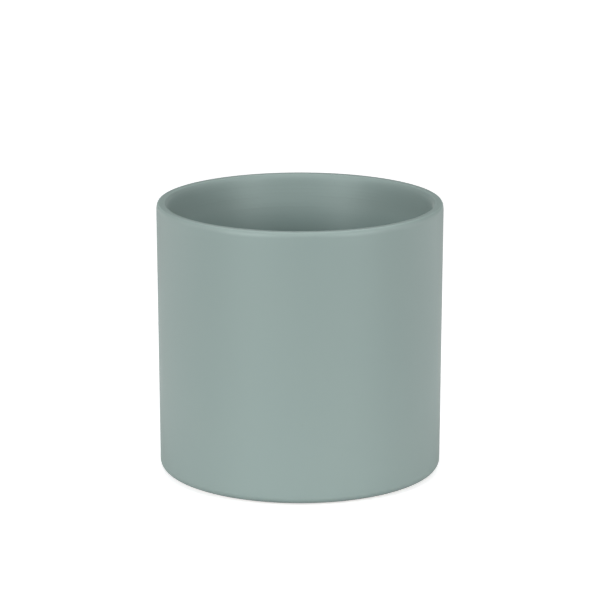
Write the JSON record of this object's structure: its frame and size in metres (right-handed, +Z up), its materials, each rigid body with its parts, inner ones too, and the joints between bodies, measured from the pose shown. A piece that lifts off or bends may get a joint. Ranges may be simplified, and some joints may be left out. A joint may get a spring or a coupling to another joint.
{
  "type": "brush holder pot",
  "caption": "Straight-sided round ceramic pot with a rounded rim, open at the top to hold brushes upright, standing on stick-on felt pads.",
  "frame": {"origin": "on the desk plane, under the middle of the pot, level with the undersides of the felt pads", "axes": "+Z up along the pot's axis, -Y the front (the pot is round, so the front is only where the names of the pads count from), +X to the right seen from the front"},
  "size_m": [0.13, 0.13, 0.1248],
  "materials": {
    "glazed_body": "satin",
    "felt_pads": "matte"
  },
  "bodies": {
    "root": {"pot_body": "glazed_body", "foot_pad_front_left": "felt_pads", "foot_pad_front_right": "felt_pads", "foot_pad_rear_right": "felt_pads", "foot_pad_rear_left": "felt_pads"}
  },
  "joints": []
}
